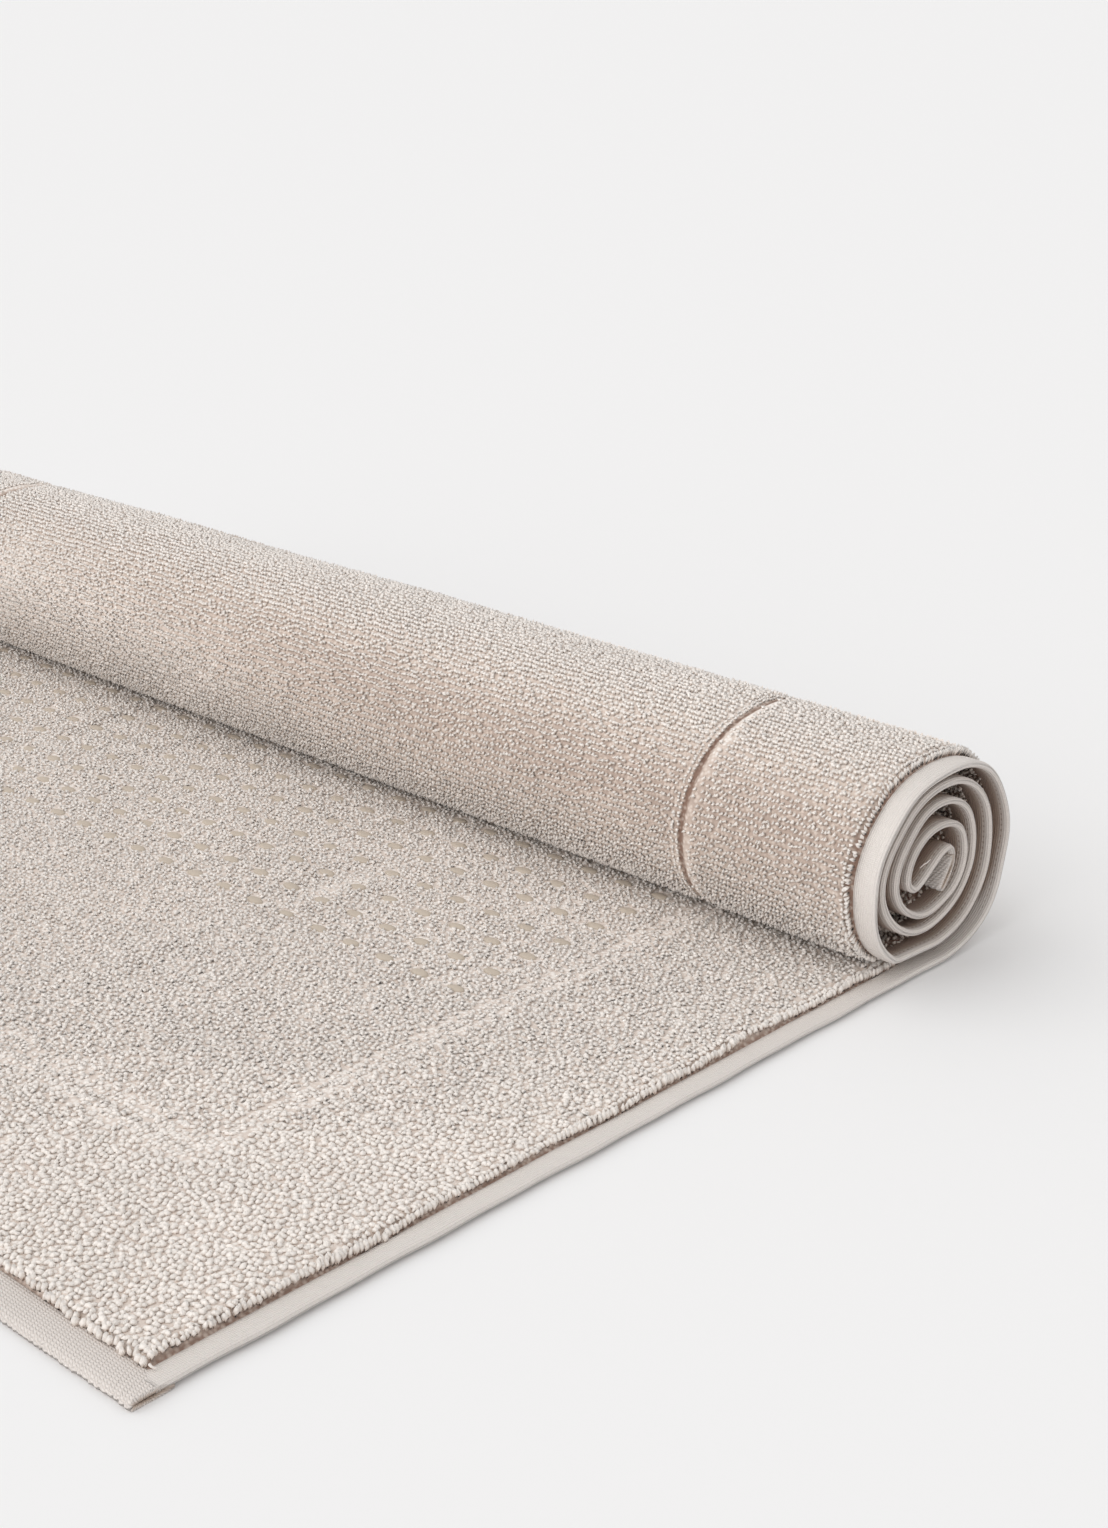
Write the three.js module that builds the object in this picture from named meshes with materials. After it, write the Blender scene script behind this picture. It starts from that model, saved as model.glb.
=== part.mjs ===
// Rolled bath mat: one piece of thick cotton terry that lies face up on the floor, with its far end rolled
// over the face towards the front. A narrow flat-woven hem runs along both sides and a wider one across each
// end, and a woven frame line is sunk into the pile a hand's width in from the edges.
// Millimetres. +X runs along the roll, +Y from the front hem to the roll, +Z up, with the origin on the floor
// under the middle of the whole piece. The cloth is followed from its front edge along its middle layer.

import * as THREE from 'three';

const WIDTH = 600;
const THICKNESS = { flat: 6.2, roll: 5.6, core: 5.1 };
const SIDE_HEM = { width: 8, thickness: 2.5 };
const END_HEM = { width: 12, thickness: 3 };
const PILE_EDGE = { width: 1.2, share: 0.86, settledBy: 22 };
const FRAME_LINE = { fromSide: 80, fromEnd: 91, halfWidth: 2.6, faceDepth: 0.3, backDepth: 1.2 };

// The roll's axis, measured from the front edge and up from the floor, and how far the middle of the cloth is
// from it on each side, turn by turn from the outside in. draw is how far the thin side hem is pulled in
// towards the axis there, which lets the ends of the turns show apart from each other.
const ROLL_AXIS = { y: 332, z: 37.5 };
const TURNS = [
  { bottomBack: 40, back: 40, topBack: 38.4, top: 34.5, topFront: 36.6, front: 40.2, bottomFront: 37.4, bottom: 28 },
  { bottomBack: 29.6, back: 30, topBack: 29.4, top: 27.5, topFront: 29.1, front: 33, bottomFront: 27, bottom: 20.7 },
  { bottomBack: 19.8, back: 19.6, topBack: 20.6, top: 20.8, topFront: 22.5, front: 26, bottomFront: 20, bottom: 14.4 },
  { bottomBack: 12.6, back: 12.6, topBack: 13.8, top: 14, topFront: 16, front: 19.2, bottomFront: 0, bottom: 0 },
];
const HEM_DRAW = [
  { back: 1.8, top: 1.9, front: 2.6, bottom: -0.2 },
  { back: 3, top: -0.6, front: 0, bottom: 1.4 },
  { back: 2.2, top: -0.8, front: 0.4, bottom: 0 },
  { back: 0, top: 0.4, front: 0.4, bottom: 0 },
];
const ROLL_STARTS_AT = -78;
const HEM_LEAVES_FLOOR = { from: -62, to: -8 };
const LAYER_GAP = 0.5;

// The inner end of the mat, folded back on itself in the middle of the roll: it comes down the front of the
// last turn, doubles back up, and its last stretch hangs down again behind.
const CORE_FOLD = [
  { at: 'front of the first fold', y: 313.5, z: 35.2 },
  { at: 'underside of the first fold', y: 316.9, z: 33 },
  { at: 'strip where it starts back up', y: 321, z: 34.6 },
  { at: 'strip between the folds', y: 326.6, z: 38.2 },
  { at: 'strip near its top', y: 332, z: 41.6 },
  { at: 'top of the second fold', y: 335.8, z: 42.2 },
  { at: 'back of the second fold', y: 337.5, z: 39.4 },
  { at: 'hanging end', y: 335.6, z: 35 },
  { at: 'inner hem', y: 330.4, z: 28 },
];

// Slow unevenness: the roll is a little fuller and slacker along its length, and the flat part is not quite even.
const ROLL_SWELL = { share: 0.011, wave: 470, lean: 0.7 };
const FLAT_WAVE = { height: 0.3, across: 260, along: 170 };

const OUTER_STEP = 8.6;
const INNER_STEP = 5;
const FOLD_STEP = 2.7;

const EIGHTHS = ['bottomBack', 'back', 'topBack', 'top', 'topFront', 'front', 'bottomFront', 'bottom'];
const QUARTERS = ['back', 'top', 'front', 'bottom'];
const radians = THREE.MathUtils.degToRad;
const mix = THREE.MathUtils.lerp;
const smooth = THREE.MathUtils.smoothstep;

// The value at a winding angle, from numbers a fixed angle apart, along a smooth curve through them.
function alongTurns(values, firstAngle, spacing, angle) {
  const place = THREE.MathUtils.clamp((angle - firstAngle) / spacing, 0, values.length - 1);
  const index = Math.min(Math.floor(place), values.length - 2);
  const t = place - index;
  const [a, b] = [values[index], values[index + 1]];
  const slopeA = (b - (values[index - 1] ?? a)) / 2;
  const slopeB = ((values[index + 2] ?? b) - a) / 2;
  const [t2, t3] = [t * t, t * t * t];
  return (2 * t3 - 3 * t2 + 1) * a + (t3 - 2 * t2 + t) * slopeA + (3 * t2 - 2 * t3) * b + (t3 - t2) * slopeB;
}

const flatMiddle = THICKNESS.flat / 2;
const restingMiddle = THICKNESS.flat + LAYER_GAP + THICKNESS.roll / 2;
const radii = [ROLL_AXIS.z - flatMiddle, ...TURNS.flatMap((turn) => EIGHTHS.map((side) => turn[side]))]
  .filter((radius) => radius > 0);
const draws = [0, ...HEM_DRAW.flatMap((turn) => QUARTERS.map((side) => turn[side]))];
const lastAngle = -90 + 45 * (radii.length - 1);

// The middle of the cloth in the roll. The first turn lies on the flat part under it.
function rolledPoint(angle) {
  const radius = alongTurns(radii, -90, 45, angle);
  const y = ROLL_AXIS.y + radius * Math.cos(radians(angle));
  const z = ROLL_AXIS.z + radius * Math.sin(radians(angle));
  const floor = angle < 0 ? flatMiddle : restingMiddle;
  return { y, z: Math.max(z, floor), angle, radius };
}

function flatStations() {
  const line = FRAME_LINE.fromEnd;
  const hemEnds = [0, END_HEM.width, END_HEM.width + PILE_EDGE.width, END_HEM.width + PILE_EDGE.settledBy];
  const frame = [line - FRAME_LINE.halfWidth, line, line + FRAME_LINE.halfWidth];
  const liftsAt = rolledPoint(ROLL_STARTS_AT).y;
  const open = 6;
  const rest = Array.from({ length: open }, (_, i) => mix(frame[2], liftsAt, (i + 1) / (open + 1)));
  return [...hemEnds, 60, ...frame, ...rest].map((y) => ({ y, z: flatMiddle, angle: -90 }));
}

function rolledStations() {
  const stations = [];
  for (let angle = ROLL_STARTS_AT; angle < lastAngle - 6;) {
    const point = rolledPoint(angle);
    stations.push(point);
    const step = mix(INNER_STEP, OUTER_STEP, smooth(point.radius, 12, 40));
    angle += THREE.MathUtils.radToDeg(step / point.radius);
  }
  stations.push(rolledPoint(lastAngle));
  return stations;
}

function foldStations(from) {
  const points = [from, ...CORE_FOLD].map((point) => new THREE.Vector3(0, point.y, point.z));
  const curve = new THREE.CatmullRomCurve3(points, false, 'centripetal');
  const length = curve.getLength();
  const pileEnds = length - END_HEM.width - PILE_EDGE.width;
  const steps = Math.round(pileEnds / FOLD_STEP);
  const along = Array.from({ length: steps }, (_, i) => (pileEnds * (i + 1)) / steps);
  along.push(length - END_HEM.width, length - (END_HEM.width * 2) / 3, length - END_HEM.width / 3, length);
  return along.map((place) => {
    const point = curve.getPointAt(place / length);
    return { y: point.y, z: point.z, angle: lastAngle };
  });
}

// Gives each station its length from the front edge and the direction square to the cloth, towards its face.
function measured(stations) {
  let length = 0;
  return stations.map((station, i) => {
    const before = stations[Math.max(i - 1, 0)];
    const after = stations[Math.min(i + 1, stations.length - 1)];
    length += i > 0 ? Math.hypot(station.y - before.y, station.z - before.z) : 0;
    const [dy, dz] = [after.y - before.y, after.z - before.z];
    const size = Math.hypot(dy, dz);
    const onFloor = station.angle < 0 && station.z <= flatMiddle;
    return { ...station, length, ny: onFloor ? 0 : -dz / size, nz: onFloor ? 1 : dy / size };
  });
}

const rolled = rolledStations();
const stations = measured([...flatStations(), ...rolled, ...foldStations(rolled.at(-1))]);
const matLength = stations.at(-1).length;

const halfAcross = (() => {
  const half = WIDTH / 2;
  const line = half - FRAME_LINE.fromSide;
  const pile = half - SIDE_HEM.width - PILE_EDGE.width;
  const frame = [line - FRAME_LINE.halfWidth, line, line + FRAME_LINE.halfWidth];
  return [line / 3, (line * 2) / 3, ...frame, half - PILE_EDGE.settledBy, pile, half - SIDE_HEM.width, half];
})();
const across = [...halfAcross.map((x) => -x).reverse(), 0, ...halfAcross];

// How thick the cloth is and how far its middle is drawn off the followed line, at a station and a place across.
function clothAt(station, x) {
  const fromSide = WIDTH / 2 - Math.abs(x);
  const fromEnd = Math.min(station.length, matLength - station.length);
  const rollness = smooth(station.angle, HEM_LEAVES_FLOOR.from, HEM_LEAVES_FLOOR.to);
  const core = smooth(station.length, matLength * 0.7, matLength * 0.93);
  const full = mix(mix(THICKNESS.flat, THICKNESS.roll, rollness), THICKNESS.core, core);
  const inSideHem = fromSide < SIDE_HEM.width + 1e-6;
  const inEndHem = fromEnd < END_HEM.width + 1e-6;
  if (inSideHem || inEndHem) {
    const thickness = inEndHem ? END_HEM.thickness : SIDE_HEM.thickness;
    const draw = inSideHem ? alongTurns(draws, -90, 90, station.angle) : 0;
    const innerFade = 1 - smooth(station.length, matLength * 0.84, matLength * 0.9);
    return { thickness, shift: mix(thickness / 2 - flatMiddle, draw * innerFade, rollness), onFrame: 0, rollness };
  }
  const edge = Math.min(fromSide - SIDE_HEM.width, fromEnd - END_HEM.width);
  const pile = mix(PILE_EDGE.share, 1, smooth(edge, PILE_EDGE.width, PILE_EDGE.settledBy - SIDE_HEM.width));
  const wave = Math.sin(x / FLAT_WAVE.across * Math.PI + 1) * Math.sin(station.length / FLAT_WAVE.along * Math.PI);
  const thickness = full * pile + FLAT_WAVE.height * wave * (1 - rollness) * pile;
  const offLine = Math.min(Math.abs(fromSide - FRAME_LINE.fromSide), Math.abs(fromEnd - FRAME_LINE.fromEnd));
  const insideFrame = fromSide > FRAME_LINE.fromSide - 1 && fromEnd > FRAME_LINE.fromEnd - 1;
  const onFrame = insideFrame && offLine < 1 ? 1 : 0;
  return { thickness, shift: mix(thickness / 2 - flatMiddle, 0, rollness), onFrame, rollness };
}

// The point on the face or the back of the cloth.
function surfacePoint(station, x, side) {
  const cloth = clothAt(station, x);
  const sunk = cloth.onFrame * (side > 0 ? FRAME_LINE.faceDepth : FRAME_LINE.backDepth * cloth.rollness);
  const offset = cloth.shift + side * (cloth.thickness / 2 - sunk);
  const turn = radians(station.angle);
  const lifted = cloth.rollness * (1 + Math.sin(turn)) / 2;
  const swell = ROLL_SWELL.share * lifted * Math.sin((x / ROLL_SWELL.wave) * 2 * Math.PI + ROLL_SWELL.lean * turn);
  const y = station.y + offset * station.ny;
  const z = station.z + offset * station.nz;
  const grown = 1 + swell;
  return [x, mix(ROLL_AXIS.y, y, grown), station.angle > -90 ? mix(ROLL_AXIS.z, z, grown) : z];
}

// One closed skin: the face, the back and the four edges.
function matGeometry() {
  const [rows, columns] = [stations.length, across.length];
  const positions = [];
  for (const side of [1, -1]) {
    for (const station of stations) {
      for (const x of across) positions.push(...surfacePoint(station, x, side));
    }
  }
  const index = [];
  const face = (row, column) => row * columns + column;
  const back = (row, column) => rows * columns + face(row, column);
  const quad = (a, b, c, d) => index.push(a, b, c, a, c, d);
  for (let row = 0; row < rows - 1; row++) {
    for (let column = 0; column < columns - 1; column++) {
      quad(face(row, column), face(row, column + 1), face(row + 1, column + 1), face(row + 1, column));
      quad(back(row, column), back(row + 1, column), back(row + 1, column + 1), back(row, column + 1));
    }
    const last = columns - 1;
    quad(face(row, 0), face(row + 1, 0), back(row + 1, 0), back(row, 0));
    quad(face(row, last), back(row, last), back(row + 1, last), face(row + 1, last));
  }
  for (let column = 0; column < columns - 1; column++) {
    const last = rows - 1;
    quad(face(0, column), back(0, column), back(0, column + 1), face(0, column + 1));
    quad(face(last, column), face(last, column + 1), back(last, column + 1), back(last, column));
  }
  const geometry = new THREE.BufferGeometry();
  geometry.setAttribute('position', new THREE.Float32BufferAttribute(positions, 3));
  geometry.setIndex(index);
  geometry.computeVertexNormals();
  return geometry;
}

const terry = new THREE.MeshStandardMaterial({ color: 0xd6cac0, roughness: 0.95, metalness: 0 });
const mat = new THREE.Mesh(matGeometry(), terry);
mat.name = 'bath_mat';

// The front edge is at length 0 until here: the piece is moved so that its middle is over the origin.
mat.geometry.computeBoundingBox();
const { min, max } = mat.geometry.boundingBox;
mat.position.set(0, -(min.y + max.y) / 2, 0);

const bathMat = new THREE.Group();
bathMat.add(mat);

export default bathMat;
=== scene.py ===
import math

import bpy
import numpy as np
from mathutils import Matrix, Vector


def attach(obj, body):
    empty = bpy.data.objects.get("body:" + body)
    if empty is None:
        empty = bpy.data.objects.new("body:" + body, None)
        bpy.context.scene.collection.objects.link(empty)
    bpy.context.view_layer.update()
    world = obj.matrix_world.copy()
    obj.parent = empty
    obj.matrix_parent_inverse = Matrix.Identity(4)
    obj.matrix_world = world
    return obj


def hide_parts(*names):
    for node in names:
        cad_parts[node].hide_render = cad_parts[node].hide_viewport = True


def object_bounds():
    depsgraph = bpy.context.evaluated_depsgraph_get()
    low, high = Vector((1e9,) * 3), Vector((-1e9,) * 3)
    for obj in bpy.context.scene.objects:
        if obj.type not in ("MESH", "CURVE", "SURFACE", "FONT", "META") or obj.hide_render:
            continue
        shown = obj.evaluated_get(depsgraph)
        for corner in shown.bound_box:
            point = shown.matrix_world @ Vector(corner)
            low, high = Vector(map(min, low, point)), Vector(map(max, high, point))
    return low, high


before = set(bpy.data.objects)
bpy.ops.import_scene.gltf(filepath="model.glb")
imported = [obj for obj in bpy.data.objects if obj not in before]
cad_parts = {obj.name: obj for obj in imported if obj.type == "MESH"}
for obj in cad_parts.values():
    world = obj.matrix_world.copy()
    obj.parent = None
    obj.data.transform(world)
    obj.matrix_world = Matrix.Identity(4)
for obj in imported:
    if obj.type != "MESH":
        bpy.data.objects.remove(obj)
cad_low, cad_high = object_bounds()

# The viewpoint: a longish lens, low over the mat's front right corner, looking across it to the roll.
# Metres and degrees in the mat's own frame, the lens and its sensor in millimetres, the picture in pixels.
EYE = (0.6854, -0.4466, 0.3377)
LOOKS_DOWN = 20.9
TURNED_LEFT = 43.57
LENS_MM = 54.26
SENSOR_MM = 36
PICTURE = {"wide": 1108, "high": 1528}

camera_data = bpy.data.cameras.new("camera")
camera_data.lens = LENS_MM
camera_data.sensor_width = SENSOR_MM
camera_data.clip_start = 0.01
camera_data.clip_end = 100
camera = bpy.data.objects.new("camera", camera_data)
camera.location = EYE
camera.rotation_euler = (math.radians(90 - LOOKS_DOWN), 0, math.radians(TURNED_LEFT))
bpy.context.scene.collection.objects.link(camera)
bpy.context.scene.camera = camera


# The studio: a white floor far wider than the picture, an even white surround, and two large soft lamps. One
# stands high on the left, so that the flat pile is bright and the roll's open end lies in its own shade, and
# one low in front. The floor is in metres, the lamps are in degrees.
FLOOR_SIZE = 120
FLOOR_COLOUR = (0.875, 0.872, 0.874, 1)
SURROUND = {"colour": (1.0, 0.995, 0.99, 1), "strength": 0.765}
LAMPS = {
    "key_lamp": {"strength": 0.74, "softness": 70, "height": 48, "from_left": 80},
    "front_lamp": {"strength": 0.85, "softness": 60, "height": 14, "from_left": 42},
}

bpy.ops.mesh.primitive_plane_add(size=FLOOR_SIZE, location=(0, 0, 0))
floor = bpy.context.object
floor.name = "floor"
floor_paint = bpy.data.materials.new("floor_paint")
floor_paint.use_nodes = True
floor_looks = floor_paint.node_tree.nodes["Principled BSDF"].inputs
floor_looks["Base Color"].default_value = FLOOR_COLOUR
floor_looks["Roughness"].default_value = 0.9
floor_looks["Specular IOR Level"].default_value = 0.1
floor.data.materials.append(floor_paint)

world = bpy.data.worlds.new("surround")
world.use_nodes = True
sky = world.node_tree.nodes["Background"]
sky.inputs["Color"].default_value = SURROUND["colour"]
sky.inputs["Strength"].default_value = SURROUND["strength"]
bpy.context.scene.world = world

for lamp_name, light in LAMPS.items():
    lamp_data = bpy.data.lights.new(lamp_name, "SUN")
    lamp_data.energy = light["strength"]
    lamp_data.angle = math.radians(light["softness"])
    lamp = bpy.data.objects.new(lamp_name, lamp_data)
    lamp.rotation_euler = (
        math.radians(90 - light["height"]), 0, math.radians(TURNED_LEFT - light["from_left"]))
    bpy.context.scene.collection.objects.link(lamp)
bpy.context.scene.view_settings.view_transform = "Standard"
bpy.context.scene.view_settings.look = "None"


# The ground cloth: one length of heavy cotton, woven as a thin firm sheet with loops on both sides. It lies
# flat from the front hem, and its far end is rolled over the face towards the front. In millimetres, x runs
# across the mat, s along it from the front edge, and off stands square to it, towards the face. A place in
# the roll has a winding angle in degrees, -90 where the cloth leaves the floor and growing turn by turn.
MM = 0.001
WIDTH = 600
PILED_THICKNESS = {"flat": 6.2, "roll": 5.6}
LAYER_GAP = 0.5
ROLL_AXIS = {"y": 332, "z": 37.5}
BOTTOM = -90
EIGHTH = 45
TURNS = (
    # from the roll's axis to the cloth's middle: bottom back, back, top back, top, top front, front, bottom
    # front and bottom of each turn, the outermost first
    (40, 40, 38.4, 34.5, 36.6, 40.2, 37.4, 28),
    (29.6, 30, 29.4, 27.5, 29.1, 33, 27, 20.7),
    (19.8, 19.6, 20.6, 20.8, 22.5, 26, 20, 14.4),
    (12.6, 12.6, 13.8, 14, 16, 19.2),
)
CORE_FOLD = (
    # y and z of the hem end's flat fold in the middle of the roll
    (313.5, 35.2), (316.9, 33), (321, 34.6), (326.6, 38.2), (332, 41.6), (335.8, 42.2), (337.5, 39.4),
    (335.6, 35), (330.4, 28),
)
ROLL_STARTS_AT = -78
LEAVES_FLOOR = (-62, -8)
LIFT_SMOOTH = {"points": 31, "from": (-90, -84), "to": (-20, 10)}
ROLL_SWELL = {"share": 0.011, "wave": 470, "lean": 0.7}
GROUND = {"flat_face": 1.9, "flat_back": -3.05, "rolled": 1.45}


def smoothstep(value, low, high):
    t = np.clip((value - low) / (high - low), 0, 1)
    return t * t * (3 - 2 * t)


def eased(a, b, slope_a, slope_b, t):
    """Between a and b, on the smooth curve with these slopes at its ends."""
    leaving = (2 * t**3 - 3 * t**2 + 1) * a + (t**3 - 2 * t**2 + t) * slope_a
    return leaving + (3 * t**2 - 2 * t**3) * b + (t**3 - t**2) * slope_b


def along_turns(values, spacing, turn):
    """The value at a winding angle, from numbers a fixed angle apart, on a smooth curve through them."""
    values = np.asarray(values, float)
    place = np.clip((turn - BOTTOM) / spacing, 0, len(values) - 1)
    i = np.minimum(place.astype(int), len(values) - 2)
    t = place - i
    a, b = values[i], values[i + 1]
    slope_a = (b - values[np.maximum(i - 1, 0)]) / 2
    slope_b = (values[np.minimum(i + 2, len(values) - 1)] - a) / 2
    return eased(a, b, slope_a, slope_b, t)


def curve_through(points, steps):
    """A smooth line through points of uneven spacing, as a bent strip of cloth lies."""
    points = np.array(points, float)
    ends = (2 * points[0] - points[1], 2 * points[-1] - points[-2])
    points = np.vstack([ends[0], points, ends[1]])
    gaps = np.sqrt(np.linalg.norm(np.diff(points, axis=0), axis=1))
    line = []
    for i in range(1, len(points) - 2):
        a, b = points[i], points[i + 1]
        before, here, after = gaps[i - 1], gaps[i], gaps[i + 1]
        slope_a = (a - points[i - 1]) / before - (b - points[i - 1]) / (before + here) + (b - a) / here
        slope_b = (b - a) / here - (points[i + 2] - a) / (here + after) + (points[i + 2] - b) / after
        t = np.linspace(0, 1, steps, endpoint=False)[:, None]
        line.append(eased(a, b, slope_a * here, slope_b * here, t))
    return np.vstack([*line, points[-2]])


def walked(across, up):
    """The distance gone along a line, at each of its points."""
    return np.concatenate([[0], np.cumsum(np.hypot(np.diff(across), np.diff(up)))])


flat_middle = PILED_THICKNESS["flat"] / 2
resting_middle = PILED_THICKNESS["flat"] + LAYER_GAP + PILED_THICKNESS["roll"] / 2
radii = [ROLL_AXIS["z"] - flat_middle, *(radius for turn in TURNS for radius in turn)]
last_turn = BOTTOM + EIGHTH * (len(radii) - 1)

wound = np.arange(ROLL_STARTS_AT, last_turn + 1, 1.0)
wound_radius = along_turns(radii, EIGHTH, wound)
wound_y = ROLL_AXIS["y"] + wound_radius * np.cos(np.radians(wound))
wound_z = ROLL_AXIS["z"] + wound_radius * np.sin(np.radians(wound))
wound_z = np.maximum(wound_z, np.where(wound < 0, flat_middle, resting_middle))
lying_y = np.arange(0, wound_y[0] - 0.5, 1.0)
folded = curve_through([(wound_y[-1], wound_z[-1]), *CORE_FOLD], 24)[1:]
line_y = np.hstack([lying_y, wound_y, folded[:, 0]])
line_z = np.hstack([np.full_like(lying_y, flat_middle), wound_z, folded[:, 1]])
line_turn = np.hstack([np.full_like(lying_y, BOTTOM), wound, np.full(len(folded), last_turn)])
line_s = walked(line_y, line_z)

LENGTH = line_s[-1]
way_s = np.arange(0, LENGTH + 0.5, 1.0)
way_y = np.interp(way_s, line_s, line_y)
way_z = np.interp(way_s, line_s, line_z)
way_turn = np.interp(way_s, line_s, line_turn)
rounding = np.ones(LIFT_SMOOTH["points"]) / LIFT_SMOOTH["points"]
near_lift = smoothstep(way_turn, *LIFT_SMOOTH["from"]) * (1 - smoothstep(way_turn, *LIFT_SMOOTH["to"]))
for way in (way_y, way_z):
    padded = np.pad(way, LIFT_SMOOTH["points"] // 2, "edge")
    way += near_lift * (np.convolve(padded, rounding, "valid") - way)
way_size = np.hypot(np.gradient(way_y), np.gradient(way_z))
way_ny = -np.gradient(way_z) / way_size
way_nz = np.gradient(way_y) / way_size


def turn_at(s):
    return np.interp(s, way_s, way_turn)


def s_at(turn):
    """Where the cloth reaches a winding angle, measured from the front edge."""
    in_roll = slice(len(lying_y), len(lying_y) + len(wound))
    return float(np.interp(turn, line_turn[in_roll], line_s[in_roll]))


def rolled_share(s):
    return smoothstep(turn_at(s), *LEAVES_FLOOR)


def way_at(s):
    """Place and the direction square to the cloth at s: y, z, ny, nz."""
    found = [np.interp(s, way_s, values) for values in (way_y, way_z, way_ny, way_nz)]
    size = np.hypot(found[2], found[3])
    return found[0], found[1], found[2] / size, found[3] / size


CENTRE_Y = (cad_high.y - cad_low.y) / 2 / MM


def settled(x, y, z, s):
    """Metres from the mat's middle, with the roll a little fuller and slacker from place to place."""
    turn = np.radians(turn_at(s))
    lifted = rolled_share(s) * (1 + np.sin(turn)) / 2
    wave = np.sin(x / ROLL_SWELL["wave"] * 2 * np.pi + ROLL_SWELL["lean"] * turn)
    grown = 1 + ROLL_SWELL["share"] * lifted * wave
    off_floor = turn_at(s) > BOTTOM
    y = ROLL_AXIS["y"] + (y - ROLL_AXIS["y"]) * grown
    z = np.where(off_floor, ROLL_AXIS["z"] + (z - ROLL_AXIS["z"]) * grown, z)
    return np.stack([x * MM, (y - CENTRE_Y) * MM, z * MM], -1)


def on_cloth(x, s, off):
    x, s, off = np.broadcast_arrays(np.asarray(x, float), s, off)
    y, z, ny, nz = way_at(s)
    return settled(x, y + off * ny, z + off * nz, s)


# Soft unevenness of the cloth: each row is a shallow trough or a low ridge.
LAID_DENTS = (
    # x, s, rise, half length, half width, direction in degrees from x
    (190, 193, -0.8, 16, 5, 70),
    (110, 222, -0.7, 34, 7, 80),
    (115, 135, 0.6, 40, 9, 95),
    (205, 258, -0.7, 110, 8, 4),
    (106, 284, 0.5, 24, 6, 88),
    (-45, 286, 0.5, 26, 7, 85),
    (-92, 284, 0.5, 24, 6, 95),
    (20, 150, -0.5, 60, 16, 20),
    (-120, 120, 0.5, 90, 22, -15),
    (-210, 200, -0.6, 70, 20, 30),
    (235, 60, 0.5, 30, 12, 60),
)
ROLL_DENTS = (
    # x, winding angle, rise, half length along x, half width in degrees
    (-30, 118, -1.0, 16, 9),
    (-58, 128, 0.8, 14, 8),
    (-95, 112, -0.8, 26, 8),
    (30, 150, -0.7, 60, 12),
    (120, 135, 0.6, 50, 16),
    (-170, 150, -0.7, 40, 12),
    (150, 175, -0.6, 40, 12),
    (-140, 60, 0.6, 60, 18),
    (60, 40, -0.7, 50, 16),
    (-220, 20, -0.6, 40, 14),
    (240, 100, -0.4, 24, 14),
)


OUTER_SIDE = {"from": (-50, -10), "to": (215, 250)}
LAID_ENDS = (-89, -60)


def unevenness(x, s):
    """How far the cloth is raised towards its face, by ridges on the floor and by dents on the roll."""
    x, s = np.broadcast_arrays(np.asarray(x, float), s)
    rise = 0.22 * np.sin(x / 41 + 1) * np.sin(s / 33 + 0.4) + 0.16 * np.sin(x / 17 + s / 23)
    for dent_x, dent_s, height, half_long, half_wide, degrees in LAID_DENTS:
        c, d = math.cos(math.radians(degrees)), math.sin(math.radians(degrees))
        along = ((x - dent_x) * c + (s - dent_s) * d) / half_long
        beside = ((s - dent_s) * c - (x - dent_x) * d) / half_wide
        rise = rise + height * np.exp(-along**2 - beside**2)
    turn = turn_at(s)
    proud = 0.25 * np.sin(x / 29 + turn / 19) * np.sin(turn / 31 + 2)
    for dent_x, dent_turn, height, half_long, half_turn in ROLL_DENTS:
        along, around = (x - dent_x) / half_long, (turn - dent_turn) / half_turn
        proud = proud + height * np.exp(-along**2 - around**2)
    proud = proud * smoothstep(turn, *OUTER_SIDE["from"]) * (1 - smoothstep(turn, *OUTER_SIDE["to"]))
    laid = 1 - smoothstep(turn, *LAID_ENDS)
    return rise * laid - proud


SIDE_HEM = {"width": 8, "thickness": 2.5}
END_HEM = {"width": 12, "thickness": 3}
# How far a side hem is drawn towards the face at each quarter turn, and where this fades along the mat.
QUARTER = 90
HEM_DRAW = (0, 1.8, 1.9, 2.6, -0.2, 3, -0.6, 0, 1.4, 2.2, -0.8, 0.4, 0, 0, 0.4, 0.4, 0)
HEM_DRAW_ENDS = (0.84, 0.9)
TUCK = {"side": 4.5, "end": 3}
FRAME = {"from_side": 79, "from_end": 81, "crease": 0.9, "band": 7, "band_edge": (0.6, 1.6), "band_fades": 2}
FACE_RELIEF = {"band": 0.5, "crease": -0.3}
BACK_RELIEF = {"band": -0.75, "crease": 0.5}
BACK_FOLLOWS = -60
SHADE = {"turn": 128, "lean": 34, "half": 32, "from_x": -200, "to_x": 120, "least": 0.35}


def hem_off(s):
    """How far the middle of a side hem is off the followed line: down on the floor, drawn in on the roll."""
    draw = along_turns(HEM_DRAW, QUARTER, turn_at(s))
    fade = 1 - smoothstep(s, *(LENGTH * share for share in HEM_DRAW_ENDS))
    share = rolled_share(s)
    return (1 - share) * (SIDE_HEM["thickness"] / 2 - flat_middle) + share * draw * fade


def from_edges(x, s):
    """Distances in from the nearer side and from the nearer end."""
    return WIDTH / 2 - np.abs(x), np.minimum(s, LENGTH - s)


def on_frame(x, s):
    """1 in the crease of the woven frame line, and 1 on the flat woven band beside it."""
    side, end = from_edges(x, s)
    inside = np.minimum(side - FRAME["from_side"], end - FRAME["from_end"])
    crease = np.exp(-(inside / FRAME["crease"])**2)
    far_edge = smoothstep(-inside, FRAME["band"] - FRAME["band_fades"], FRAME["band"])
    return crease, smoothstep(-inside, *FRAME["band_edge"]) * (1 - far_edge)


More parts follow.
